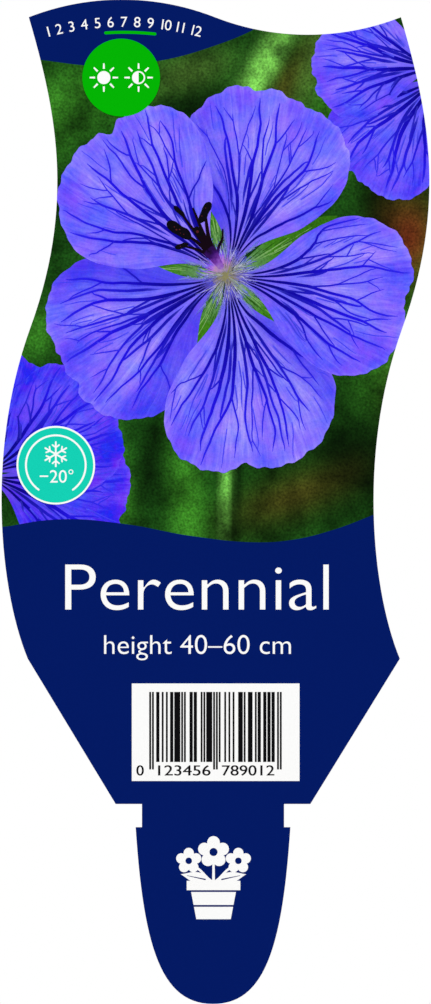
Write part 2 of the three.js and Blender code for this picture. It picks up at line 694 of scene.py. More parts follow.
def turned(outline, x, y, angle):
    """An outline or path drawn about zero, turned and then moved to x, y."""
    c, s = math.cos(angle), math.sin(angle)
    return [(x + c * px - s * py, y + s * px + c * py, *rest) for px, py, *rest in outline]


def copy_of_sheet(name, outer_y, inner_y):
    """A closed solid of the cutting line between two depths in metres."""
    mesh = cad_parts[NODE].data.copy()
    mesh.name = name
    mesh.materials.clear()
    piece = link(name, mesh)
    middle = (FRONT_Y + BACK_Y) / 2 * MM
    for vertex in mesh.vertices:
        vertex.co.y = outer_y if vertex.co.y < middle else inner_y
    with editing(piece):
        bpy.ops.mesh.remove_doubles(threshold=SHEET_WELD)
        bpy.ops.mesh.dissolve_limited(angle_limit=FLAT)
    bpy.ops.object.shade_flat()
    return piece


# Half the thickness of the solids that films are cut with
MOULD_HALF = 5 * MM


def slab_below(name, edge):
    """A thick slab under an edge of (x, y) knots that runs across the page, to cut films with."""
    floor = TIP_Z - 10
    piece, curve = link_curve(name)
    curve.fill_mode = "BOTH"
    curve.extrude = MOULD_HALF
    curve.resolution_u = 24
    knots = [(x, y, "smooth") for x, y in edge]
    add_outline(curve, [(edge[0][0], floor), *knots, (edge[-1][0], floor)])
    to_mesh(piece)
    piece.rotation_euler.x = math.pi / 2
    settle(piece)
    close_up(piece)
    return piece


# Where the print changes from one ground to the next: knots across the page, in millimetres
BAND_EDGE = (
    (-45, 143.1), (-32.7, 141.4), (-21.5, 140.25), (-10.3, 141.2), (0.6, 144.2), (8, 147.3), (45, 170),
)
PANEL_EDGE = (
    (-46, 50.6), (-38, 52.9), (-28, 54.1), (-16.9, 53.2), (-4, 50.9),
    (8.4, 49.7), (15.2, 50.2), (22.6, 52), (30.4, 54.9), (45, 61),
)


def picture_mould():
    """A thick solid of the picture's outline, between the band and the panel."""
    mould = copy_of_sheet("picture_mould", -MOULD_HALF, MOULD_HALF)
    band, panel = slab_below("band_slab", BAND_EDGE), slab_below("panel_slab", PANEL_EDGE)
    cut(mould, band, "INTERSECT")
    cut(mould, panel, "DIFFERENCE")
    remove(band, panel)
    return mould


def cut_to_picture(*pieces):
    """Cuts pieces off at the picture's edge."""
    mould = picture_mould()
    for piece in pieces:
        cut(piece, mould, "INTERSECT")
    remove(mould)


def in_picture(x, y, margin=0.0):
    """Whether a place on the page is inside the picture, by a margin all round."""
    ground = bpy.data.objects["picture_ground"]
    reach = 10
    for aside, up in ((-margin, 0), (margin, 0), (0, -margin), (0, margin)):
        origin = Vector(((x + aside) * MM, (FRONT_Y - reach) * MM, (y + up) * MM))
        if not ground.ray_cast(origin, Vector((0, 1, 0)))[0]:
            return False
    return True


def points_of(piece):
    """A piece's points as an array with a row for each."""
    flat = np.empty(len(piece.data.vertices) * 3)
    piece.data.vertices.foreach_get("co", flat)
    return flat.reshape(-1, 3)


def smooth_step(low, high, value):
    share = np.clip((value - low) / (high - low), 0, 1)
    return share * share * (3 - 2 * share)


def film_grid(name, along, across):
    """A unit grid, from which a film of many small faces is bent."""
    bpy.ops.object.select_all(action="DESELECT")
    bpy.ops.mesh.primitive_grid_add(x_subdivisions=along, y_subdivisions=across, size=1, calc_uvs=True)
    piece = bpy.context.object
    piece.name = piece.data.name = name
    return piece


def bend(piece, x, y):
    """Moves a grid's points to places on the page, in millimetres, and makes a film of it."""
    piece.data.vertices.foreach_set("co", np.stack([x * MM, y * MM, 0 * x], 1).ravel())
    apply_modifier(piece, "SOLIDIFY", thickness=settings().sheet.film, offset=-1)


# ---------------------------------------------------------------- the garden


# Soft blots of the garden: x, y, half length, half width, turn in degrees, setting, strength
GARDEN_BLOTS = (
    (-30, 132, 16, 8, 35, "lit", 0.6),
    (-34, 118, 7, 9, 0, "hollow", 0.7),
    (-5, 139, 8, 3.5, 20, "dry", 0.6),
    (-4, 133, 8, 3, 10, "hollow", 0.8),
    (9, 139, 12, 2.1, 62, "stalk", 1.0),
    (14, 136, 9, 3, 62, "earth", 0.4),
    (19, 140, 10, 2.5, 70, "dry", 0.8),
    (24, 127, 9, 5, 120, "lit", 0.8),
    (31, 116, 12, 5, 100, "hollow", 0.85),
    (37, 107, 8, 5, 80, "earth", 1.0),
    (33, 86, 12, 6, 60, "lit", 0.6),
    (38, 76, 9, 5, 95, "earth", 0.3),
    (28, 66, 11, 11, 0, "hollow", 0.9),
    (35, 62, 12, 1.6, 75, "lit", 0.95),
    (14, 58, 11, 4, 20, "earth", 0.32),
    (2.5, 62, 16, 0.9, 88, "stalk", 0.42),
    (4.6, 62, 16, 1.2, 88, "hollow", 0.8),
    (-5, 58, 14, 3.2, 94, "lit", 0.95),
    (-12, 63, 9, 2.6, 80, "hollow", 0.75),
    (-19, 60, 12, 3, 100, "lit", 0.9),
    (-24, 57, 6, 2, 60, "hollow", 0.7),
    (-33, 90, 8, 5, 30, "lit", 0.6),
    (-25, 84, 6, 3, 20, "hollow", 0.7),
)


def garden_colours(x, y):
    """The garden's colour at places on the page."""
    garden = settings().garden
    shades = np.tile(np.array(garden.leaves), (len(x), 1))
    for blot_x, blot_y, long, wide, turn, tone, strength in GARDEN_BLOTS:
        c, s = math.cos(math.radians(turn)), math.sin(math.radians(turn))
        dx, dy = x - blot_x, y - blot_y
        share = strength * np.exp(-(((c * dx + s * dy) / long) ** 2) - ((c * dy - s * dx) / wide) ** 2)
        shades += share[:, None] * (np.array(getattr(garden, tone)) - shades)
    return shades


# ---------------------------------------------------------------- flowers


# A petal or a sepal. Its centre is its flower's, in millimetres; direction, spread and lean are
# in degrees; over_low and over_high tell how much shadow a neighbour casts on either side.
Petal = namedtuple("Petal", "centre direction length spread lean blunt level over_low over_high tone seed")

# Where along its length a petal begins, and the faces of its grid and a sepal's, along and across
ROOT = 0.03
PETAL_STEPS = (56, 96)
SEPAL_STEPS = (26, 10)


def petal_page(petal, along, across):
    """Places on the page from a petal's own: along it from 0 to 1, and across it from -1 to 1."""
    along, across = np.asarray(along, float), np.asarray(across, float)
    aside = np.abs(across)
    if petal.blunt:
        reach = 0.57 + 0.43 * np.sqrt(1 - np.minimum(aside, 1) ** 2.7)
        lobes = 0.036 * np.abs(np.sin(3.5 * across + petal.seed)) ** 0.7
        teeth = 0.008 * np.abs(np.sin(10.7 * across + 1.9 * petal.seed)) ** 0.8
        crinkle = 0.005 * np.sin(33 * across + petal.seed) + 0.003 * np.sin(71 * across + 2 * petal.seed)
        notch = 0.03 * np.exp(-(((across - 0.3 * math.sin(petal.seed)) / 0.06) ** 2))
        wave = lobes + teeth + crinkle - notch - 0.03
        fan = 0.43 + 0.57 * smooth_step(0, 0.85, along)
    else:
        reach = 0.4 + 0.6 * (1 - np.minimum(aside, 1) ** 1.25)
        wave = 0 * across
        fan = 0.75 + 0.25 * along
    share = along * reach * (1 + wave * along**3)
    distance = petal.length * share
    angle = np.radians(petal.direction + petal.spread * across * fan + petal.lean * share**2)
    x, y = petal.centre
    return x + distance * np.cos(angle), y + distance * np.sin(angle)


def bend_petal(name, petal, steps):
    """A film of a petal's shape, cut off at the picture's edge."""
    piece = film_grid(name, *steps)
    places = points_of(piece)
    along = ROOT + (1 - ROOT) * (places[:, 0] + 0.5)
    x, y = petal_page(petal, along, places[:, 1] * 2)
    bend(piece, x, y)
    stand(piece, petal.level, GROUND)
    rim = np.abs(places[:, :2]).max(1) > 0.499
    if not all(in_picture(px, py) for px, py in zip(x[rim], y[rim])):
        cut_to_picture(piece)
    return piece


# A vein grows by steps along the petal in a lane across it, which goes from -1 to 1 and drifts:
# how long a step is, how the drift changes in it and dies down, and how near two lanes meet
VEIN_STEP, VEIN_SWAY, VEIN_DECAY, VEIN_MEET = 0.02, 0.12, 0.13, 0.02
# The lane of the outermost main veins, and the one where a vein would leave the petal
OUTER_LANE, VEIN_BOUND = 0.93, 0.95
# Orders of branches off a main vein, and each order's width as a share of the one before; the
# least width of any vein, in millimetres
VEIN_ORDERS, THINNER, FINEST = 3, 0.72, 0.23
# At a fork: how hard the branch turns aside, how hard its vein is pushed the other way, the steps
# to the next fork, and how likely that one is to be on the other side
FORK_TURN, FORK_PUSH, FORK_STEPS, FORK_CHANGE = (1.0, 1.9), (0.15, 0.5), (7, 13), 0.8
# The step where each kind of vein starts, the steps to its first fork, and the step where it stops
MAIN_START, MAIN_FORK, MAIN_STOP = 4, (15, 27), (46, 49)
BETWEEN_START, BETWEEN_FORK, BETWEEN_STOP = (8, 19), (9, 20), (40, 48)
BRANCH_FORK, BRANCH_STOP = (7, 14), (42, 48)
# Strokes between the veins, veinlets that leave one and faint ones that lie loose: how many, where
# they start, how many steps they run, and the last step
VEINLETS, VEINLET_START, VEINLET_RUN, VEINLET_STOP = 14, (14, 40), (6, 14), 47
FAINT_VEINLETS, FAINT_START, FAINT_RUN, FAINT_STOP = 36, (20, 41), (7, 18), 49
# The fewest points of a vein, and of one that ends at the petal's side
SHORTEST_RUN, SHORTEST_CUT_OFF = 5, 9


def grow_veins(petal, thick, mains):
    """The veins of a petal as paths of (along, across, width, fade). Main veins leave the pale
    root in a bunch and fan out, others start between them, finer ones branch off on either side,
    and a vein that reaches another joins it and ends. Wide veins grow before their branches, and
    veinlets and faint strokes fill the gaps at last."""
    chance = random.Random(petal.seed)
    lanes, paths, waiting = [], [], []

    def place(step, lane, order, share):
        """A point of a vein: the veins bunch and thin at the root, and fade at the margin."""
        along = step * VEIN_STEP
        bunch = 0.84 + 0.16 * smooth_step(0.04, 0.4, along)
        swell = 0.42 + 0.58 * smooth_step(0.08, 0.42, along)
        thinned = 1 - 0.3 * smooth_step(0.45, 0.97, along)
        width = max(FINEST, thick * share * swell * thinned * THINNER**order)
        fade = min(0.06 * order + 0.14 * smooth_step(0.7, 1, along), 0.4)
        return [along, float(lane * bunch), float(width), float(fade)]

    def met(step, before, lane):
        """The lane of an earlier vein that this one comes up to or crosses, or None."""
        for other in lanes:
            if step in other and step - 1 in other:
                gap, gap_before = lane - other[step], before - other[step - 1]
                if gap * gap_before < 0 or abs(gap) < min(VEIN_MEET, abs(gap_before)):
                    return other[step]
        return None

    def grow(step, lane, drift, order, share, fork, stop):
        """Grows one vein to its stop or to one that it meets, and lets its branches wait."""
        own, path, branches = {step: lane}, [place(step, lane, order, share)], []
        side = chance.choice((-1, 1))
        joined = None
        while step < stop and joined is None:
            if step == fork and order < VEIN_ORDERS:
                turn = side * chance.uniform(*FORK_TURN) * 0.85**order
                branches.append((step, lane, drift * 0.4 + turn))
                drift -= side * chance.uniform(*FORK_PUSH)
                share *= 0.9
                fork += chance.randint(*FORK_STEPS)
                side = -side if chance.random() < FORK_CHANGE else side
            step += 1
            drift += chance.gauss(0, VEIN_SWAY) - VEIN_DECAY * drift
            before, lane = lane, lane + drift * VEIN_STEP
            joined = met(step, before, lane)
            lane = lane if joined is None else joined
            own[step] = lane
            path.append(place(step, lane, order, share))
        for point, left in zip(path[:-4:-1], (0.5, 0.7, 0.9) if joined else (0.3, 0.55, 0.8)):
            point[2] *= left
        lanes.append(own)
        paths.append(path)
        for start, there, turn in branches:
            first_fork, end = start + chance.randint(*BRANCH_FORK), chance.randint(*BRANCH_STOP)
            waiting.append((start, there, turn, order + 1, share, first_fork, end))

    for index in range(mains):
        lane = (2 * (index + 0.5) / mains - 1) * OUTER_LANE + chance.uniform(-0.04, 0.04)
        share = chance.uniform(0.7, 1.0) * (1 - 0.25 * abs(lane))
        first = len(paths)
        grow(MAIN_START, lane, 0, 0, share, chance.randint(*MAIN_FORK), chance.randint(*MAIN_STOP))
        for point, left in zip(paths[first], (0.5, 0.25)):
            point[3] = left
    for index in range(mains - 1):
        lane = (2 * (index + 1) / mains - 1) * OUTER_LANE + chance.uniform(-0.03, 0.03)
        start, drift = chance.randint(*BETWEEN_START), chance.uniform(-0.3, 0.3)
        first = len(paths)
        fork, stop = start + chance.randint(*BETWEEN_FORK), chance.randint(*BETWEEN_STOP)
        grow(start, lane, drift, 1, 0.9, fork, stop)
        for point, left in zip(paths[first], (0.2, 0.4, 0.6, 0.8, 0.9)):
            point[2] *= left
            point[3] = max(point[3], 0.75 - 0.7 * left)
    while waiting:
        grow(*waiting.pop(0))
    for _ in range(VEINLETS):
        start = chance.randint(*VEINLET_START)
        lane = chance.choice([own[start] for own in lanes if start in own])
        drift = chance.choice((-1, 1)) * chance.uniform(1.4, 2.4)
        stop = min(start + chance.randint(*VEINLET_RUN), VEINLET_STOP)
        grow(start, lane, drift, VEIN_ORDERS, 1, 0, stop)
    for _ in range(FAINT_VEINLETS):
        start, lane = chance.randint(*FAINT_START), chance.uniform(-0.9, 0.9)
        drift = chance.uniform(-0.3, 0.3)
        first = len(paths)
        grow(start, lane, drift, VEIN_ORDERS, 1, 0, min(start + chance.randint(*FAINT_RUN), FAINT_STOP))
        for index, point in enumerate(paths[first]):
            point[2] *= 0.85
            point[3] = max(0.5, 0.85 - 0.12 * index)
    return paths


def vein_pages(petal, paths):
    """Vein paths on the page, ended where they would leave the petal at its side: those that lie
    inside the picture, and those that the picture's edge cuts."""
    whole, crossing = [], []
    for path in paths:
        page = []
        shortest = SHORTEST_RUN
        for along, across, width, fade in path:
            if abs(across) > VEIN_BOUND:
                shortest = SHORTEST_CUT_OFF
                break
            x, y = petal_page(petal, along, across)
            page.append((float(x), float(y), width, fade))
        inside = [in_picture(x, y, margin=0.6 * width) for x, y, width, _ in page]
        if len(page) >= shortest and any(inside):
            (whole if all(inside) else crossing).append(page)
    return whole, crossing


def lay_veins(name, level, whole, crossing):
    """Veins on a petal, some of which are cut off at the picture's edge."""
    steps = stroke_steps(whole + crossing)
    pieces = [brush(name, whole, steps)]
    for path, step in zip(crossing, steps[len(whole) :]):
        pieces.append(brush("cut_vein", [path], [step]))
    for piece in pieces:
        stand(piece, level, level - 1)
    if crossing:
        cut_to_picture(*pieces[1:])
    return join(name, pieces)


def give_reach(piece, centre, length):
    """Writes each point's distance from a flower's centre, as a share of its petals' length, and
    its spoke: the direction in which it lies, and the same distance."""
    places = points_of(piece) / MM
    aside, up = places[:, 0] - centre[0], places[:, 2] - centre[1]
    away = np.hypot(aside, up)
    reach = away / length
    away = np.maximum(away, 0.001)
    store(piece, "reach", "FLOAT", reach)
    store(piece, "spoke", "FLOAT_VECTOR", np.stack([aside / away, up / away, reach], 1))


def shade_petal(piece, petal, veins):
    """Writes a petal's light, paleness, shadow and blush at every corner: a dome with folds that
    fan out to the margin, a pale root, and shade along the main veins and under the next petals."""
    mesh = piece.data
    count = len(mesh.loops)
    flat = np.empty(count * 2)
    mesh.uv_layers.active.data.foreach_get("uv", flat)
    along = ROOT + (1 - ROOT) * flat[0::2]
    across = flat[1::2] * 2 - 1
    corner_point = np.empty(count, int)
    mesh.loops.foreach_get("vertex_index", corner_point)
    seed = petal.seed

    dome = 0.17 * np.cos(1.5 * across) * np.sin(np.pi * np.clip(along, 0, 1)) ** 0.8
    folds = 0.08 * np.sin(9 * across + 1.7 * seed + 2 * along) + 0.05 * np.sin(17 * across + seed)
    clouds = 0.06 * np.sin(5 * along + 3 * across + seed) * np.sin(4 * across - 6 * along + 2 * seed)
    tilt = 0.08 * across * math.cos(math.radians(petal.direction) + 0.6)
    margin = 0.14 * smooth_step(0.965, 1.0, along) - 0.09 * smooth_step(0.78, 0.94, along)
    throat = 0.03 * np.exp(-(((along - 0.3) / 0.12) ** 2))
    light = 0.51 + petal.tone + dome + folds * smooth_step(0.2, 0.8, along) + clouds + tilt + margin + throat
    pale = 0.95 * (1 - smooth_step(0.08, 0.23 + 0.03 * np.sin(11 * across + seed), along))
    fringe = 0.5 * smooth_step(0.6, 1.0, np.abs(across)) * (1 - smooth_step(0.2, 0.5, along))
    pale = np.maximum(pale, fringe)

    places = points_of(piece) / MM
    main = np.array([point[:3] for run in veins for point in run if point[2] > 0.22]).reshape(-1, 3)
    halo = np.zeros(len(places))
    if len(main):
        gap = np.hypot(places[:, :1] - main[:, 0], places[:, 2:] - main[:, 1])
        near = np.exp(-((gap / (main[:, 2] * 1.2)) ** 2))
        wide = np.exp(-((gap / (main[:, 2] * 3)) ** 2))
        halo = (0.3 * near + 0.1 * wide).max(1)
    low, high = smooth_step(0.45, 0.95, -across), smooth_step(0.45, 0.95, across)
    under = petal.over_low * low + petal.over_high * high
    shadow = np.clip(halo[corner_point] * (1 - 0.6 * pale) + under * smooth_step(0.1, 0.4, along), 0, 0.85)
    glow_x, glow_y = BLUSH_CENTRE
    from_glow = np.hypot(places[:, 0] - glow_x, places[:, 2] - glow_y) / BLUSH_RADIUS
    blush = 0.75 * np.exp(-(from_glow**2))
    store(piece, "shade", "FLOAT_COLOR", np.stack([light, pale, shadow, blush[corner_point]], 1), "CORNER")


def build_petal(name, petal, thick, mains):
    """One petal with its veins on the next level: how thick in millimetres, and how many main ones."""
    piece = bend_petal(name, petal, PETAL_STEPS)
    whole, crossing = vein_pages(petal, grow_veins(petal, thick, mains))
    shade_petal(piece, petal, whole + crossing)
    give_reach(piece, petal.centre, petal.length)
    finish_piece(piece, petal_ink())
    lines = lay_veins(name + "_veins", petal.level + 1, whole, crossing)
    give_reach(lines, petal.centre, petal.length)
    finish_piece(lines, vein_ink())


BLOOM_CENTRE = (2.5, 100.5)
# Degrees from each petal to the next, the width of a main vein in millimetres, and how far apart
# the petals' seeds are
FIFTH, BLOOM_VEIN, SEED_STEP = 72, 0.85, 3
# Turn out of place in degrees, share of the length and of the spread, level above the first,
# shadow from the neighbours, tone and lean
BLOOM_PETALS = (
    (3, 0.99, 0.98, 0, 0.0, 0.6, 0.03, 4),
    (0, 1.0, 1.0, 2, 0.0, 0.0, 0.0, -3),
    (-1, 0.98, 1.02, 0, 0.6, 0.5, -0.05, 2),
    (1, 1.03, 0.98, 2, 0.0, 0.5, 0.05, -4),
    (-4, 0.97, 0.96, 4, 0.0, 0.0, -0.01, 1),
)
# The sepal after each petal: length in millimetres, half its angle and its lean in degrees
BLOOM_SEPALS = ((17.5, 17, -4), (22, 15, 5), (17, 17, -5), (20, 16, 6), (24, 15, 2))


def bloom_petals():
    """The five petals of the main bloom, of which two lie under both of their neighbours."""
    bloom = settings().bloom
    petals = []
    for index, (turn, length, spread, step, over_low, over_high, tone, lean) in enumerate(BLOOM_PETALS):
        direction = math.degrees(bloom.turn) + FIFTH * index + turn
        shape = (bloom.length / MM * length, math.degrees(bloom.spread) * spread, lean, True)
        shade = (over_low, over_high, tone, bloom.seed + SEED_STEP * index)
        petals.append(Petal(BLOOM_CENTRE, direction, *shape, PETALS + step, *shade))
    return petals


# A stroke on a sepal: where it starts, and how far ahead of that each point is, with its width
FIBRE_START = (0.26, 0.8)
FIBRE_POINTS = ((0, 0.08), (0.05, 0.14), (0.1, 0.12), (0.16, 0.05))


def sepal_fibres(sepal, chance, count, low, high):
    """Short strokes along a sepal, between two shares of its half width."""
    paths = []
    for _ in range(count):
        along = chance.uniform(*FIBRE_START)
        across = chance.choice((-1, 1)) * chance.uniform(low, high)
        paths.append([])
        for ahead, width in FIBRE_POINTS:
            x, y = petal_page(sepal, along + ahead, across)
            paths[-1].append((float(x), float(y), width))
    return paths


def smoothed(path, steps=6):
    """A path with more points, on one smooth curve through the given ones."""
    knots = np.array([path[0], *path, path[-1]], float)
    fine = []
    for before, start, end, after in zip(knots, knots[1:], knots[2:], knots[3:]):
        bend = 2 * before - 5 * start + 4 * end - after
        twist = 3 * (start - end) + after - before
        for share in np.linspace(0, 1, steps, endpoint=False):
            fine.append(start + ((end - before) * share + bend * share**2 + twist * share**3) / 2)
    return [tuple(point) for point in (*fine, knots[-1])]


# The column of stamens leans up and to the left. Its filaments are drawn lying to the right:
# where each starts and passes, in millimetres along the column and aside of it, with its width.
COLUMN_DIRECTION = 122
FILAMENTS = (
    ((1.6, -0.4, 0.3), (4.4, -0.5, 0.8), (7.6, -0.9, 0.75), (12.2, -2.9, 0.45)),
    ((1.4, -0.2, 0.3), (4.6, -0.25, 0.85), (8.2, -0.4, 0.7), (14.2, -1.4, 0.35)),
    ((1.3, 0.0, 0.3), (4.4, 0.0, 0.9), (7.8, 0.1, 0.8), (9.8, 0.0, 0.5)),
    ((1.4, 0.2, 0.3), (4.8, 0.3, 0.85), (9.2, 0.6, 0.65), (15.0, 1.1, 0.3)),
    ((1.6, 0.4, 0.3), (4.6, 0.6, 0.8), (8.0, 1.3, 0.6), (12.0, 3.0, 0.4)),
    ((1.8, 0.5, 0.3), (4.4, 0.8, 0.7), (6.8, 1.9, 0.55), (9.2, 4.2, 0.3)),
    ((4.2, -0.6, 0.6), (5.4, -1.8, 0.55), (6.2, -3.0, 0.45), (7.8, -4.1, 0.25)),
)
# Anthers: the filament that carries it, its turn off the column in degrees, length and width
ANTHERS_ON = ((0, -62, 4.4, 1.7), (2, 8, 2.2, 1.5), (3, 10, 2.8, 1.0), (4, 20, 5.4, 2.3), (5, 70, 2.6, 1.1))
# Knots round an anther, as shares of its length and width
ANTHER_OUTLINE = (
    (-0.5, 0.02), (-0.36, 0.3), (-0.08, 0.42), (0.22, 0.52), (0.44, 0.36), (0.5, 0.02), (0.34, -0.32),
    (0.04, -0.36), (-0.3, -0.44),
)
# Glints: the anther, where on it as shares of its length and width, and the radius in millimetres
GLINTS_ON = (
    (0, -0.2, 0.12, 0.1), (0, 0.18, 0.2, 0.08), (1, 0.05, 0.16, 0.26), (3, -0.22, 0.06, 0.1),
    (3, -0.1, 0.16, 0.08), (3, 0.0, -0.04, 0.13), (3, 0.08, 0.14, 0.17), (3, 0.2, 0.06, 0.12),
    (4, 0.1, 0.05, 0.09),
)
# The blush on the petals under the column: how far it reaches, and how far out its middle is
BLUSH_RADIUS = 3.0
BLUSH_OUT = 3.6
BLUSH_CENTRE = (
    BLOOM_CENTRE[0] + BLUSH_OUT * math.cos(math.radians(COLUMN_DIRECTION)),
    BLOOM_CENTRE[1] + BLUSH_OUT * math.sin(math.radians(COLUMN_DIRECTION)),
)


# The points of a hair, and of one in the fringe between two petals: its share of the length, its
# share of the width, and how far the ink fades there
HAIR_POINTS = ((0, 0.6, 0.2), (0.35, 1.0, 0.0), (0.7, 0.8, 0.35), (1, 0.35, 0.85))
FRINGE_POINTS = ((-0.8, 0.7, 0.75), (0, 1.0, 0.15), (0.5, 0.8, 0.3), (1, 0.4, 0.85))
# How far a hair bends, in radians; where the fringe grows along a petal, how far out its hairs
# reach and how far they lean, as shares of the petal's own measures, and their width
HAIR_BEND = 0.16
FRINGE_ALONG, FRINGE_OUT, FRINGE_LEAN, FRINGE_WIDTH = (0.08, 0.36), (0.04, 0.1), 0.008, 0.11


def radiate(chance, angles, near, far, width):
    """Fine hairs that lie out from the bloom's centre, one at each angle, and fade at their ends.
    near and far are the ranges in millimetres where they start and how long they are."""
    cx, cy = BLOOM_CENTRE
    paths = []
    for angle in angles:
        start = chance.uniform(*near)
        length = chance.uniform(*far)
        bent = chance.gauss(0, HAIR_BEND)
        path = []
        for share, breadth, fade in HAIR_POINTS:
            away = start + length * share
            there = angle + bent * share
            path.append((cx + away * math.cos(there), cy + away * math.sin(there), width * breadth, fade))
        paths.append(path)
    return paths


def petal_fringe(petal, chance):
    """Soft short hairs that stand out over the gaps along the foot of a petal's two sides."""
    paths = []
    for side in (-1, 1):
        for _ in range(FRINGE_HAIRS):
            along = chance.uniform(*FRINGE_ALONG)
            out = chance.uniform(*FRINGE_OUT)
            path = []
            for share, breadth, fade in FRINGE_POINTS:
                x, y = petal_page(petal, along + FRINGE_LEAN * share, side * (1 + out * share))
                path.append((float(x), float(y), FRINGE_WIDTH * breadth, fade))
            paths.append(path)
    return paths


def print_hairs(name, paths, material, level):
    """Prints hairs whose ink changes with their distance from the bloom's centre."""
    hairs = print_art(name, [brush(name, paths)], material, level, SEPALS)
    give_reach(hairs, BLOOM_CENTRE, settings().bloom.length / MM)


# Blooms that the picture's edge cuts off: centre, then each petal's direction, length, level
# above the first, shadow from the neighbours and tone
LOW_PETALS = ((28, 28, 2, 0, 0, -0.34), (-18, 28, 0, 0, 0.5, -0.38), (78, 24, 0, 0.5, 0, -0.38))
HIGH_PETALS = ((172, 25, 2, 0, 0, -0.08), (228, 27, 0, 0.5, 0.0, -0.16))
FAR_BLOOMS = (("low_bloom", (-43.5, 62.5), LOW_PETALS), ("high_bloom", (44, 139.5), HIGH_PETALS))
# Their petals' spread and lean in degrees, the width and the number of their main veins, and their
# seeds
FAR_SPREAD, FAR_LEAN, FAR_VEIN, FAR_MAINS = 38, 3, 0.95, 4
FAR_SEED, FAR_SEED_STEP = 40, 5


# ---------------------------------------------------------------- signs


def sun_sign(x, y, radius, half=False):
    """A sun with eight rays. For half shade, one half of its disc is an open ring."""
    disc, ring, near = radius * 0.46, radius * 0.36, radius * 0.62
    foot, tip = radius * 0.07, radius * 0.05
    pieces = []
    if half:
        pieces.append(draw("ring", circle(x, y, disc), circle(x, y, ring)))
        pieces.append(draw("half", circle(x, y, (disc + ring) / 2, 33, math.pi / 2, math.pi)))
    else:
        pieces.append(draw("disc", circle(x, y, disc)))
    for index in range(8):
        ray = [(near, -foot), (radius, -tip), (radius, tip), (near, foot)]
        pieces.append(draw("ray", turned(ray, x, y, index * math.pi / 4)))
    return pieces


def snow_sign(x, y, radius):
    """A snow crystal of six barbed arms."""
    paths = []
    width, barb = radius * 0.14, 0.34 * radius
    for index in range(6):
        way = index * math.pi / 3 + math.pi / 6
        c, s = math.cos(way), math.sin(way)
        foot, fork, tip = ((x + share * radius * c, y + share * radius * s) for share in (0.01, 0.55, 1))
        paths.append(rounded(width, foot, tip))
        for side in (-1, 1):
            turn = way + side * math.pi / 3.4
            end = (fork[0] + barb * math.cos(turn), fork[1] + barb * math.sin(turn))
            paths.append(rounded(width * 0.9, fork, end))
    return [brush("crystal", paths)]


def drop_sign(x, y, height):
    """A drop of water."""
    half = height * 0.33
    belly = y - height * 0.08
    sides = [(x - half, belly, "smooth"), (x, y - height * 0.4, "smooth"), (x + half, belly, "smooth")]
    return [draw("drop", [(x, y + height * 0.6), *sides])]


def arrow_sign(start, end, width):
    """A line with an arrowhead at both ends."""
    start, end = Vector(start), Vector(end)
    along = (end - start).normalized()
    aside = Vector((-along.y, along.x))
    head = width * 3.2
    pieces = []
    for tip, way in ((start, along), (end, -along)):
        corners = [tip, tip + way * head + aside * head * 0.55, tip + way * head - aside * head * 0.55]
        pieces.append(draw("head", [tuple(corner) for corner in corners]))
    first, last = start + along * head * 0.9, end - along * head * 0.9
    side = aside * width / 2
    shaft = [tuple(first + side), tuple(last + side), tuple(last - side), tuple(first - side)]
    pieces.append(draw("shaft", shaft))
    return pieces


def flower_outline(x, y, size):
    """Five round petals in one outline. Each petal's arc ends where it meets the next one's."""
    far, radius = 1.3 * size, 0.86 * size
    fifth = 2 * math.pi / 5
    meet = far * math.cos(fifth / 2) + math.sqrt(radius**2 - (far * math.sin(fifth / 2)) ** 2)
    half = math.atan2(meet * math.sin(fifth / 2), meet * math.cos(fifth / 2) - far)
    outline = []
    for index in range(5):
        ahead = math.pi / 2 + fifth * index
        middle = (x + far * math.cos(ahead), y + far * math.sin(ahead))
        outline += circle(*middle, radius, 20, ahead - half, 2 * half)[:-1]
    return outline


def leaf_outline(x, y, length, width, turn):
    shape = [(0, 0), (length * 0.45, width / 2, "smooth"), (length, 0), (length * 0.45, -width / 2, "smooth")]
    return turned(shape, x, y, math.radians(turn))


# Flowers over the pot: sideways, up, and the size of their petals, as shares of the sign's size
POT_FLOWERS = ((-0.31, 0.29, 0.075), (0, 0.4, 0.092), (0.31, 0.29, 0.075))


def pot_sign(x, y, size):
    """A flowering plant in its pot, drawn about the middle of its rim in shares of its size: the
    shapes, and the lines that go on top of them in the other ink."""
    body = [(-0.28, -0.1), (0.28, -0.1), (0.215, -0.44), (-0.215, -0.44)]
    shapes = [
        draw("body", [(x + px * size, y + py * size) for px, py in body]),
        draw("rim", oblong(x - 0.335 * size, y - 0.077 * size, x + 0.335 * size, y + 0.04 * size)),
    ]
    lines = [draw("hoop", oblong(x - 0.25 * size, y - 0.285 * size, x + 0.25 * size, y - 0.262 * size))]
    stems = []
    for aside, up, petal in POT_FLOWERS:
        foot = (x + aside * 0.12 * size, y + 0.03 * size)
        bend = (x + aside * 0.5 * size, y + up * 0.55 * size)
        flower = (x + aside * size, y + up * size)
        stems.append([(*foot, 0.035 * size), (*bend, 0.03 * size), (*flower, 0.027 * size)])
        shapes.append(draw("flower", flower_outline(*flower, petal * size)))
        lines.append(draw("eye", circle(*flower, petal * 0.55 * size, 24)))
    shapes.append(brush("stems", stems))
    for turn in (12, 168):
        low = y + 0.035 * size
        shapes.append(draw("leaf", leaf_outline(x, low, 0.42 * size, 0.14 * size, turn)))
        rib = [(0.1 * size, 0, 0.017 * size), (0.34 * size, 0, 0.006 * size)]
        lines.append(brush("rib", [turned(rib, x, low, math.radians(turn))]))
    return shapes, lines


# First and last month in which the plant flowers
FLOWERING = (6, 9)


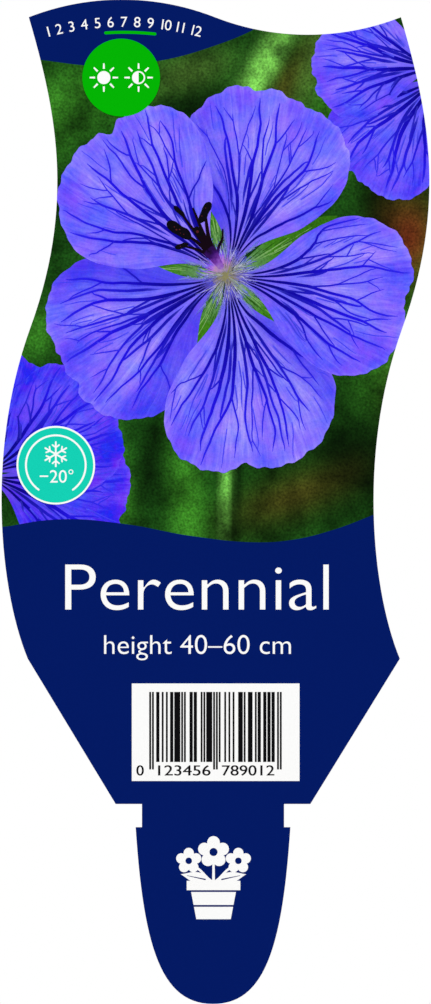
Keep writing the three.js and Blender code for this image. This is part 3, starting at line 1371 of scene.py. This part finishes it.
def month_row(middle, top, radius, height, gap):
    """The twelve months with their feet on an arc, and the path of the line under those in which
    the plant flowers. A negative radius bends the row the other way."""
    numbers = [write("month", str(month), 0, 0, height, spacing=0.77) for month in range(1, 13)]
    bpy.context.view_layer.update()
    widths = [number.dimensions.x / MM for number in numbers]
    at = -(sum(widths) + gap * (len(numbers) - 1)) / 2
    low = top - radius
    angles = []
    for number, width in zip(numbers, widths):
        angle = (at + width / 2) / radius
        angles.append(angle)
        at += width + gap
        number.rotation_euler.z = -angle
        place = (middle + radius * math.sin(angle), low + radius * math.cos(angle))
        number.location = (place[0] * MM, place[1] * MM, 0)
        settle(number)
    first, last = FLOWERING
    margin = height / 2 / radius
    ends = angles[first - 1] - margin, angles[last - 1] + margin
    under = radius - height * 0.5
    line = [(middle + under * math.sin(a), low + under * math.cos(a)) for a in np.linspace(*ends, 12)]
    return numbers, brush("line", [rounded(height * 0.28, *line)])


def code_runs(digits):
    """A 13-digit bar code as (first module, number of modules, whether it is a guard bar). A
    first digit of zero sets every left-hand digit in the plain code; right-hand ones are its
    opposite."""
    codes = "0001101 0011001 0010011 0111101 0100011 0110001 0101111 0111011 0110111 0001011".split()
    left = "".join(codes[int(digit)] for digit in digits[1:7])
    right = "".join(codes[int(digit)] for digit in digits[7:])
    right = right.translate(str.maketrans("01", "10"))
    modules = "101" + left + "01010" + right + "101"
    guards = {0, 2, 46, 48, 92, 94}
    runs = []
    start = 0
    while start < len(modules):
        end = start
        while end < len(modules) and modules[end] == modules[start]:
            end += 1
        if modules[start] == "1":
            runs.append((start, end - start, start in guards))
        start = end
    return runs


# ---------------------------------------------------------------- operators


# What the camera sees: the middle of its view and one pixel of it, in millimetres
VIEW_CENTRE = (0.475, 57.38)
PIXEL = 0.19
IMAGE_HEIGHT = 1004
CAMERA_DISTANCE = 0.6
# Lights: name, where they shine, and how wide they look in degrees
LIGHTS = (
    ("key", (0.75, 1.0, -0.85), 28),
    ("fill", (-1.1, 1.0, -0.35), 34),
    ("back", (0.75, -1.0, -0.85), 34),
)
# Strength of the pale surroundings as the varnish mirrors them, and as the camera sees them
MIRRORED, SEEN = 0.03, 1.0
# How far under the tip the floor is, in millimetres
FLOOR_GAP = 0.2


class PLANT_LABEL_OT_stage(bpy.types.Operator):
    """Sets up the pale floor just under the tip, the camera square to the front, and soft lights
    that stand well off to the sides so that the varnish doesn't wash out the inks"""

    bl_idname = "plant_label.stage"
    bl_label = "Stage"

    def execute(self, context):
        stage = settings().stage
        bpy.ops.object.select_all(action="DESELECT")
        bpy.ops.mesh.primitive_plane_add(size=stage.floor, location=(0, 0, (TIP_Z - FLOOR_GAP) * MM))
        floor = bpy.context.object
        floor.name = "studio_floor"
        floor.visible_diffuse = floor.visible_glossy = False
        paper = bpy.data.materials.new("studio_paper")
        paper.use_nodes = True
        shader = paper.node_tree.nodes["Principled BSDF"]
        shader.inputs["Base Color"].default_value = stage.paper
        shader.inputs["Roughness"].default_value = 0.9
        floor.data.materials.append(paper)

        camera = bpy.data.cameras.new("camera")
        camera.type = "ORTHO"
        camera.ortho_scale = IMAGE_HEIGHT * PIXEL * MM
        camera.clip_start = 0.01
        holder = link("camera", camera)
        x, z = VIEW_CENTRE
        holder.location = (x * MM, -CAMERA_DISTANCE, z * MM)
        holder.rotation_euler = (math.pi / 2, 0, 0)
        context.scene.camera = holder

        for name, aim, width in LIGHTS:
            sun = bpy.data.lights.new(name, "SUN")
            sun.energy = getattr(stage, name)
            sun.angle = math.radians(width)
            link(name, sun).rotation_euler = Vector(aim).to_track_quat("-Z", "Y").to_euler()

        world = bpy.data.worlds.new("studio")
        context.scene.world = world
        world.use_nodes = True
        tree = world.node_tree
        seen = add_node(tree, "ShaderNodeLightPath").outputs["Is Camera Ray"]
        level = add_node(tree, "ShaderNodeMapRange", {"To Min": MIRRORED, "To Max": SEEN, "Value": seen})
        backdrop = tree.nodes["Background"]
        backdrop.inputs["Color"].default_value = linear("#FFFFFF")
        tree.links.new(level.outputs["Result"], backdrop.inputs["Strength"])
        context.scene.view_settings.view_transform = "Standard"
        return {"FINISHED"}


class PLANT_LABEL_OT_sheet(bpy.types.Operator):
    """Builds the core of white plastic, between the films on its two faces. The die drags the
    back edge of the cut over a little"""

    bl_idname = "plant_label.sheet"
    bl_label = "Plastic Sheet"

    def execute(self, context):
        sheet = copy_of_sheet("plastic_sheet", level_y(0), level_y(0, back=True))
        with editing(sheet):
            bpy.ops.mesh.select_all(action="DESELECT")
        for face in sheet.data.polygons:
            face.select = face.normal.y > 0.9
        bpy.ops.object.mode_set(mode="EDIT")
        bpy.ops.mesh.region_to_loop()
        bpy.ops.mesh.bevel(offset=settings().sheet.edge_rounding, segments=3, clamp_overlap=True)
        bpy.ops.object.mode_set(mode="OBJECT")
        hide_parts(NODE)
        finish_piece(sheet, cut_polypropylene())
        return {"FINISHED"}


class PLANT_LABEL_OT_blue(bpy.types.Operator):
    """Prints the dark blue band along the wave and the dark blue panel from the picture to the tip"""

    bl_idname = "plant_label.blue"
    bl_label = "Blue Band and Panel"

    def execute(self, context):
        band, panel = slab_below("band_slab", BAND_EDGE), slab_below("panel_slab", PANEL_EDGE)
        for name, tool, operation in (("blue_band", band, "DIFFERENCE"), ("blue_panel", panel, "INTERSECT")):
            piece = copy_of_sheet(name, level_y(GROUND), level_y(0))
            cut(piece, tool, operation)
            finish_piece(piece, blue_ink())
        remove(band, panel)
        return {"FINISHED"}


# The garden's grid, fine enough for soft changes, in millimetres
GARDEN_CELL = 1.1
GARDEN_LOW = 45


class PLANT_LABEL_OT_garden(bpy.types.Operator):
    """Prints the picture's ground: a garden out of focus"""

    bl_idname = "plant_label.garden"
    bl_label = "Garden"

    def execute(self, context):
        left, wide, tall = LOW.x - 2, HIGH.x - LOW.x + 4, HIGH.z - GARDEN_LOW
        piece = film_grid("picture_ground", round(wide / GARDEN_CELL), round(tall / GARDEN_CELL))
        places = points_of(piece)
        x = left + (places[:, 0] + 0.5) * wide
        y = GARDEN_LOW + (places[:, 1] + 0.5) * tall
        bend(piece, x, y)
        stand(piece, GROUND, 0)
        cut_to_picture(piece)
        places = points_of(piece) / MM
        store(piece, "garden", "FLOAT_COLOR", garden_colours(places[:, 0], places[:, 2]))
        finish_piece(piece, garden_ink())
        return {"FINISHED"}


class PLANT_LABEL_OT_far_blooms(bpy.types.Operator):
    """Prints parts of two more blooms, at the picture's lower left and upper right"""

    bl_idname = "plant_label.far_blooms"
    bl_label = "Far Blooms"

    def execute(self, context):
        for name, centre, petals in FAR_BLOOMS:
            for number, (direction, length, step, over_low, over_high, tone) in enumerate(petals, 1):
                shape = (length, FAR_SPREAD, FAR_LEAN, True, FAR_PETALS + step)
                seed = FAR_SEED + FAR_SEED_STEP * number
                petal = Petal(centre, direction, *shape, over_low, over_high, tone, seed)
                build_petal(f"{name}_petal_{number}", petal, FAR_VEIN, FAR_MAINS)
        return {"FINISHED"}


# Strokes on each sepal: how many, and between which shares of its half width
SEPAL_SHADE, SEPAL_LIGHT = (18, 0.1, 0.85), (12, 0.0, 0.3)


class PLANT_LABEL_OT_bloom(bpy.types.Operator):
    """Prints the open bloom: petals with veins, and the downy sepals that show between them"""

    bl_idname = "plant_label.bloom"
    bl_label = "Bloom"

    def execute(self, context):
        bloom = settings().bloom
        dark, light = [], []
        for number, (petal, (length, spread, lean)) in enumerate(zip(bloom_petals(), BLOOM_SEPALS), 1):
            build_petal(f"bloom_petal_{number}", petal, BLOOM_VEIN, bloom.mains)
            shape = {"length": length, "spread": spread, "lean": lean, "blunt": False, "level": SEPALS}
            sepal = petal._replace(direction=petal.direction + FIFTH / 2, **shape)
            piece = bend_petal(f"bloom_sepal_{number}", sepal, SEPAL_STEPS)
            give_reach(piece, BLOOM_CENTRE, bloom.length / MM)
            finish_piece(piece, sepal_ink())
            chance = random.Random(sepal.seed)
            dark += sepal_fibres(sepal, chance, *SEPAL_SHADE)
            light += sepal_fibres(sepal, chance, *SEPAL_LIGHT)
        for name, paths, shade in (("sepal_shade", dark, "#245410"), ("sepal_down", light, "#7CAA62")):
            fibres = flat_ink(name + "_process_inks", linear(shade), grain=0.2)
            print_art(name, [brush(name, paths)], fibres, FIBRES, SEPALS)
        return {"FINISHED"}


# The eye's down: name, inks near the centre and further out, how many hairs, where they start and
# how long they are in millimetres, and how wide
DOWN_HAIRS = (
    ("petal_down", "#918B74", "#7F76BE", 90, (0.4, 3.0), (1.8, 3.6), 0.13),
    ("shade_down", "#6B6850", "#5148B4", 60, (0.6, 3.4), (1.4, 3.0), 0.1),
    ("sepal_gap_down", "#9A9F88", "#88A088", 60, (0.5, 3.0), (2.0, 4.2), 0.14),
    ("long_down", "#C8C4B0", "#BCBCE0", 60, (0.8, 4.0), (1.8, 4.0), 0.1),
)
# Hairs on each side of a petal's foot, and how far the gap between two petals' feet reaches
FRINGE_HAIRS = 34
GAP_HALF_ANGLE = math.radians(9)
# The pink streaks: their fan, how many, where they start and how long they are, and how wide
GLOW_HALF_ANGLE = math.radians(40)
GLOW_HAIRS = 60
GLOW_START, GLOW_LENGTH, GLOW_WIDTH = (0.6, 2.0), (2.2, 4.2), 0.17
# The eye in millimetres: its radius, its five swellings and how uneven its rim is
EYE_RADIUS, EYE_SWELLING, EYE_UNEVEN = 1.55, 0.3, 0.12


class PLANT_LABEL_OT_eye(bpy.types.Operator):
    """Prints the bloom's downy eye: an uneven disc, hairs that lie out over the petals and the
    sepals, and the pink streaks at the foot of the stamens"""

    bl_idname = "plant_label.eye"
    bl_label = "Eye"

    def execute(self, context):
        bloom = settings().bloom
        chance = random.Random(bloom.seed)
        bpy.ops.object.select_all(action="DESELECT")
        bpy.ops.mesh.primitive_circle_add(vertices=72, radius=MM, fill_type="TRIFAN")
        eye = bpy.context.object
        places = points_of(eye)
        angles = np.arctan2(places[:, 1], places[:, 0])
        swollen = [EYE_RADIUS + EYE_SWELLING * math.cos(5 * (a - bloom.turn)) for a in angles]
        radius = [r + chance.uniform(-EYE_UNEVEN, EYE_UNEVEN) for r in swollen]
        places[:, :2] *= np.array(radius)[:, None]
        places[:, :2] += np.array(BLOOM_CENTRE) * MM
        eye.data.vertices.foreach_set("co", places.ravel())
        apply_modifier(eye, "SOLIDIFY", thickness=settings().sheet.film, offset=-1)
        print_art("bloom_eye", [eye], eye_ink(), EYE, SEPALS)
        give_reach(eye, BLOOM_CENTRE, bloom.length / MM)

        for name, inner, outer, count, near, far, width in DOWN_HAIRS:
            angles = []
            while len(angles) < count:
                ahead = chance.uniform(0, 2 * math.pi)
                off = (ahead - bloom.turn) % math.radians(FIFTH) - math.radians(FIFTH / 2)
                if name == "long_down" or (abs(off) < GAP_HALF_ANGLE) == (name == "sepal_gap_down"):
                    angles.append(ahead)
            paths = radiate(chance, angles, near, far, width)
            print_hairs(name, paths, down_ink(name + "_process_inks", inner, outer), DOWN)
        paths = [path for petal in bloom_petals() for path in petal_fringe(petal, chance)]
        print_hairs("gap_fringe", paths, fringe_ink(), DOWN)

        ahead = math.radians(COLUMN_DIRECTION)
        angles = [ahead + chance.gauss(0, 0.5) * GLOW_HALF_ANGLE for _ in range(GLOW_HAIRS)]
        paths = radiate(chance, angles, GLOW_START, GLOW_LENGTH, GLOW_WIDTH)
        print_hairs("bloom_glow", paths, glow_ink(), GLOW)
        return {"FINISHED"}


class PLANT_LABEL_OT_stamens(bpy.types.Operator):
    """Prints the column of stamens, its filaments and its anthers"""

    bl_idname = "plant_label.stamens"
    bl_label = "Stamens"

    def execute(self, context):
        ahead = math.radians(COLUMN_DIRECTION)
        column = [smoothed(turned(path, *BLOOM_CENTRE, ahead)) for path in FILAMENTS]
        print_hairs("stamens", column, stamen_ink(), STAMENS)

        anthers, glints = [], []
        for index, (filament, turn, long, wide) in enumerate(ANTHERS_ON):
            tip = FILAMENTS[filament][-1][:2]
            (x, y), = turned([tip], *BLOOM_CENTRE, ahead)
            lies = ahead + math.radians(turn)
            outline = [(long * px, wide * py, "smooth") for px, py in ANTHER_OUTLINE]
            anthers.append(draw("anther", turned(outline, x, y, lies)))
            for carrier, along, aside, size in GLINTS_ON:
                if carrier == index:
                    (gx, gy), = turned([(long * along, wide * aside)], x, y, lies)
                    glints.append(draw("glint", circle(gx, gy, size, 10)))
        dark = flat_ink("anther_process_inks", linear("#0B0810"), grain=0.3)
        print_art("anthers", anthers, dark, ANTHERS, SEPALS, overlapping=True)
        gleam = flat_ink("glint_process_inks", linear("#5A2026"), grain=0.3)
        print_art("anther_glints", glints, gleam, GLINTS, ANTHERS)
        return {"FINISHED"}


# Months along the band's wave: middle and top of the arc that carries their feet, its radius, the
# numbers' height and the gap between them, in millimetres
MONTH_ROW = (-16.9, 147.65, 55.4, 2.05, 1.28)


class PLANT_LABEL_OT_months(bpy.types.Operator):
    """Prints the twelve months along the band, with a green line under those in which it flowers"""

    bl_idname = "plant_label.months"
    bl_label = "Months"

    def execute(self, context):
        numbers, line = month_row(*MONTH_ROW)
        print_art("month_numbers", numbers, white_ink(), ON_BLUE, GROUND)
        print_art("flowering_line", [line], green_ink(), ON_BLUE, GROUND)
        return {"FINISHED"}


# The disc's middle and radius, and its signs' distance from the middle and their radius, in
# millimetres
SUN_DISC = (-17.44, 138.02, 7.4)
SUN_ASIDE, SUN_RADIUS = 3.3, 2.7
# Points round a large disc
DISC_POINTS = 96


class PLANT_LABEL_OT_sun_disc(bpy.types.Operator):
    """Prints the green disc with its two signs: full sun and half shade"""

    bl_idname = "plant_label.sun_disc"
    bl_label = "Sun Disc"

    def execute(self, context):
        x, y, radius = SUN_DISC
        disc = [draw("disc", circle(x, y, radius, DISC_POINTS))]
        print_art("sun_disc", disc, green_ink(), DISC, GROUND)
        signs = sun_sign(x - SUN_ASIDE, y, SUN_RADIUS) + sun_sign(x + SUN_ASIDE, y, SUN_RADIUS, half=True)
        print_art("sun_signs", signs, white_ink(), SIGN, DISC, overlapping=True)
        return {"FINISHED"}


# The badge's middle and radius, and the width of its rim, in millimetres
BADGE = (-29.87, 64.37, 7.47)
BADGE_RIM = 0.35
# The open ring: its share of the radius, its start and sweep in degrees, and its width
GAUGE_SHARE, GAUGE_START, GAUGE_SWEEP, GAUGE_WIDTH = 0.76, -55, 290, 0.36
# The number's place from the middle, its height and width; the crystal's height and radius
DEGREES_X, DEGREES_Y, DEGREES_HEIGHT, DEGREES_WIDTH = 0.15, -3.3, 2.5, 6.4
CRYSTAL_Y, CRYSTAL_RADIUS = 2.1, 2.3
# The frost that the plant stands
FROST = "−20°"


class PLANT_LABEL_OT_frost_badge(bpy.types.Operator):
    """Prints the turquoise badge: a white rim, an open ring like a gauge's, a crystal and a number"""

    bl_idname = "plant_label.frost_badge"
    bl_label = "Frost Badge"

    def execute(self, context):
        x, y, radius = BADGE
        turquoise = flat_ink("turquoise_process_ink", settings().inks.turquoise)
        rim = [draw("rim", circle(x, y, radius, DISC_POINTS))]
        print_art("badge_rim", rim, white_ink(), DISC, GROUND)
        face = [draw("face", circle(x, y, radius - BADGE_RIM, DISC_POINTS))]
        print_art("badge_face", face, turquoise, SIGN, DISC)
        sweep = (math.radians(GAUGE_START), math.radians(GAUGE_SWEEP))
        marks = [brush("arc", [rounded(GAUGE_WIDTH, *circle(x, y, radius * GAUGE_SHARE, 60, *sweep))])]
        foot = (x + DEGREES_X, y + DEGREES_Y)
        marks.append(write("frost", FROST, *foot, DEGREES_HEIGHT, width=DEGREES_WIDTH))
        marks += snow_sign(x, y + CRYSTAL_Y, CRYSTAL_RADIUS)
        print_art("badge_marks", marks, white_ink(), SIGN_DETAIL, SIGN, overlapping=True)
        return {"FINISHED"}


# Lines of type: name and setting, then middle, foot, height, width and weight in millimetres
LETTERING = (("title", -3.08, 36.85, 9.35, 50.07, -0.1), ("subtitle", -2.95, 28.5, 3.85, 35.5, -0.03))


class PLANT_LABEL_OT_lettering(bpy.types.Operator):
    """Prints the title and the line under it, in white on the panel"""

    bl_idname = "plant_label.lettering"
    bl_label = "Lettering"

    def execute(self, context):
        for name, x, y, height, width, weight in LETTERING:
            line = write(name, getattr(settings().inks, name), x, y, height, width=width, weight=weight)
            print_art(name, [line], white_ink(), ON_BLUE, GROUND)
        return {"FINISHED"}


# Bar code of 13 digits, in millimetres, and how far the black spreads beyond its edges
MODULE = 0.264
INK_SPREAD = 0.05
BARS_LEFT = -12.07
BARS_HIGH, BARS_LOW, GUARDS_LOW = 21.3, 7.98, 6.56
CODE_GROUND = (-15.43, 4.37, 16.44, 22.9)
CODE_DIGITS = "0123456789012"
# Digits under the bars: which, where their middle is, and how wide they are
DIGIT_GROUPS = ((slice(0, 1), -13.85, 1.35), (slice(1, 7), -5.75, 9.9), (slice(7, 13), 6.65, 9.9))
DIGIT_FOOT, DIGIT_HEIGHT, DIGIT_SPREAD = 5.42, 2.05, 0.04


class PLANT_LABEL_OT_bar_code(bpy.types.Operator):
    """Prints the white box with a plain run of numbers in bars and digits"""

    bl_idname = "plant_label.bar_code"
    bl_label = "Bar Code"

    def execute(self, context):
        ground = [draw("ground", oblong(*CODE_GROUND))]
        print_art("bar_code_ground", ground, white_ink(), ON_BLUE, GROUND)
        bars = []
        for start, count, guard in code_runs(CODE_DIGITS):
            left = BARS_LEFT + start * MODULE
            low = GUARDS_LOW if guard else BARS_LOW
            right = left + count * MODULE
            bars.append(draw("bar", oblong(left - INK_SPREAD, low, right + INK_SPREAD, BARS_HIGH)))
        for digits, x, width in DIGIT_GROUPS:
            for side in (-1, 1):
                text, middle = CODE_DIGITS[digits], x + side * DIGIT_SPREAD
                bars.append(write("digits", text, middle, DIGIT_FOOT, DIGIT_HEIGHT, width=width))
        black = flat_ink("black_process_ink", settings().inks.black)
        print_art("bar_code_bars", bars, black, DETAIL_ON_BLUE, ON_BLUE, overlapping=True)
        return {"FINISHED"}


# The sign's middle and its size, in millimetres
POT_SIGN = (0.1, -15.2, 15.2)


class PLANT_LABEL_OT_pot_sign(bpy.types.Operator):
    """Prints the sign on the tongue: a potted plant in white with its lines in blue"""

    bl_idname = "plant_label.pot_sign"
    bl_label = "Pot Sign"

    def execute(self, context):
        shapes, lines = pot_sign(*POT_SIGN)
        print_art("pot_sign", shapes, white_ink(), ON_BLUE, GROUND, overlapping=True)
        print_art("pot_sign_lines", lines, blue_ink(), DETAIL_ON_BLUE, ON_BLUE)
        return {"FINISHED"}


# The back in millimetres. Light and water: the row's height, the suns' places and radius, and the
# drops' places and height.
BACK_LIGHT = 124
BACK_SUNS, BACK_SUN = (-16, 0), 6.5
BACK_DROPS, BACK_DROP = (12, 19), 9.5
BACK_MONTHS = (-3, 103, 400, 2.9, 1.7)
# Measured lines: the arrow's ends, the piece's name, the text, and its middle and foot
BACK_SIZES = (
    ((-17, 76), (-17, 93), "height", "40–60 cm", 4, 82),
    ((-19, 63), (-5, 63), "spacing", "35 cm", 11, 60.7),
)
BACK_CRYSTAL = (-9, 42, 5)
BACK_FROST = (10, 39.7)
BACK_ARROW, BACK_TYPE = 0.7, 4.6


class PLANT_LABEL_OT_back(bpy.types.Operator):
    """Prints the back in one ink on the white plastic: light and water, months, height, spacing
    and frost, in rows that follow the head's sway"""

    bl_idname = "plant_label.back"
    bl_label = "Back"

    def execute(self, context):
        full, half = BACK_SUNS
        signs = sun_sign(full, BACK_LIGHT, BACK_SUN) + sun_sign(half, BACK_LIGHT, BACK_SUN, half=True)
        for x in BACK_DROPS:
            signs += drop_sign(x, BACK_LIGHT, BACK_DROP)
        numbers, line = month_row(*BACK_MONTHS)
        signs += [*numbers, line]
        for start, end, name, text, x, y in BACK_SIZES:
            signs += arrow_sign(start, end, BACK_ARROW)
            signs.append(write(name, text, x, y, BACK_TYPE))
        signs += snow_sign(*BACK_CRYSTAL)
        signs.append(write("frost", FROST, *BACK_FROST, BACK_TYPE))
        ink, slot = blue_ink(), "dark_blue_print"
        print_art("back_signs", signs, ink, BACK_LEVELS, 0, back=True, overlapping=True)
        return {"FINISHED"}


OPERATORS = (
    PLANT_LABEL_OT_stage,
    PLANT_LABEL_OT_sheet,
    PLANT_LABEL_OT_blue,
    PLANT_LABEL_OT_garden,
    PLANT_LABEL_OT_far_blooms,
    PLANT_LABEL_OT_bloom,
    PLANT_LABEL_OT_eye,
    PLANT_LABEL_OT_stamens,
    PLANT_LABEL_OT_months,
    PLANT_LABEL_OT_sun_disc,
    PLANT_LABEL_OT_frost_badge,
    PLANT_LABEL_OT_lettering,
    PLANT_LABEL_OT_bar_code,
    PLANT_LABEL_OT_pot_sign,
    PLANT_LABEL_OT_back,
)


class VIEW3D_PT_plant_label(bpy.types.Panel):
    """Sizes and colours of the label, and a button for each of its pieces"""

    bl_label = "Plant Label"
    bl_space_type = "VIEW_3D"
    bl_region_type = "UI"
    bl_category = "Plant Label"

    def draw(self, context):
        label = settings()
        for group in LabelSettings.__annotations__:
            column = self.layout.column()
            column.label(text=group.capitalize())
            values = getattr(label, group)
            for name in type(values).__annotations__:
                column.prop(values, name)
        for kind in OPERATORS:
            self.layout.operator(kind.bl_idname)


CLASSES = (
    SheetSettings,
    InkSettings,
    BloomSettings,
    GardenSettings,
    StageSettings,
    LabelSettings,
    *OPERATORS,
    VIEW3D_PT_plant_label,
)


def register():
    for kind in CLASSES:
        bpy.utils.register_class(kind)
    bpy.types.Scene.plant_label = PointerProperty(type=LabelSettings)


def unregister():
    del bpy.types.Scene.plant_label
    for kind in reversed(CLASSES):
        bpy.utils.unregister_class(kind)


def main():
    """Builds the label."""
    register()
    for kind in OPERATORS:
        getattr(bpy.ops.plant_label, kind.bl_idname.split(".")[1])()
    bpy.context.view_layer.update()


if __name__ == "__main__":
    main()
